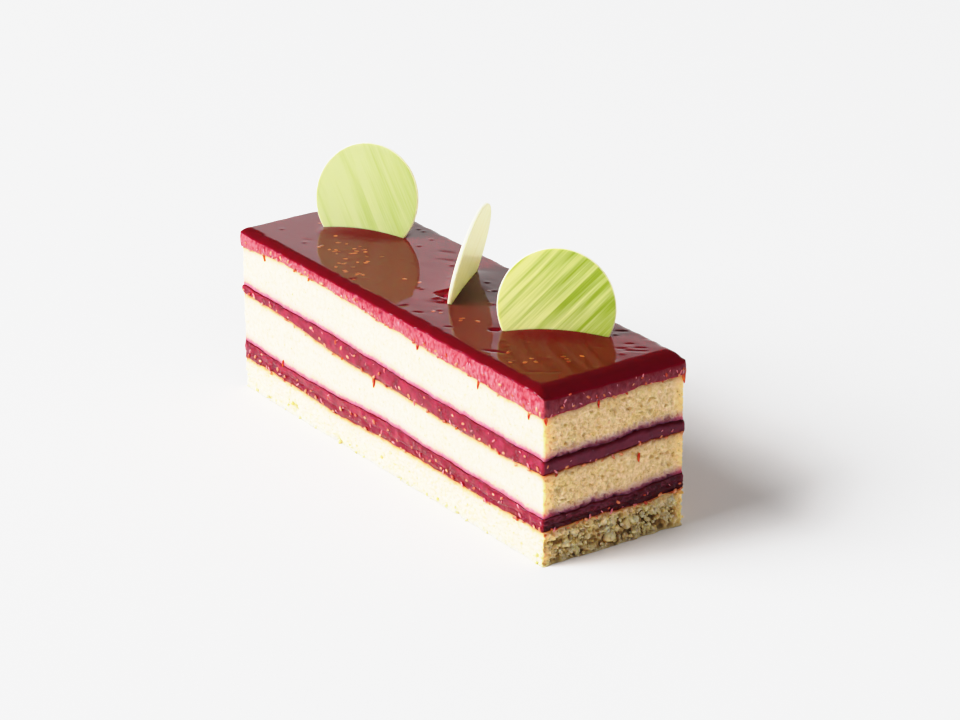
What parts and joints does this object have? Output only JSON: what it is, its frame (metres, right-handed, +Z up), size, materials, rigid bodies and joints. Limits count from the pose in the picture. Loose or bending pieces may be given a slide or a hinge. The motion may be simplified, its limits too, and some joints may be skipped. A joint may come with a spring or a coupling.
{
  "type": "raspberry loaf cake",
  "caption": "Long low layered loaf cake of pale sponge and raspberry jam under a clear raspberry jelly top, with thin striped chocolate discs standing in the jelly.",
  "frame": {"origin": "middle of the underside, on the surface the cake stands on", "axes": "+Z up, +X along the length, the near long side faces -Y"},
  "size_m": [0.1708, 0.0526, 0.0835],
  "materials": {
    "sponge": "matte, open crumb",
    "raspberry_jam": "moist, with seeds",
    "raspberry_jelly": "clear and mirror-smooth",
    "white_chocolate": "satin, brushed green stripes"
  },
  "bodies": {
    "root": {"sponge_base": "sponge", "jam_lower": "raspberry_jam", "sponge_middle": "sponge", "jam_upper": "raspberry_jam", "sponge_top": "sponge", "jelly_top": "raspberry_jelly", "chocolate_disc_left": "white_chocolate", "chocolate_disc_middle": "white_chocolate", "chocolate_disc_right": "white_chocolate"}
  },
  "joints": []
}
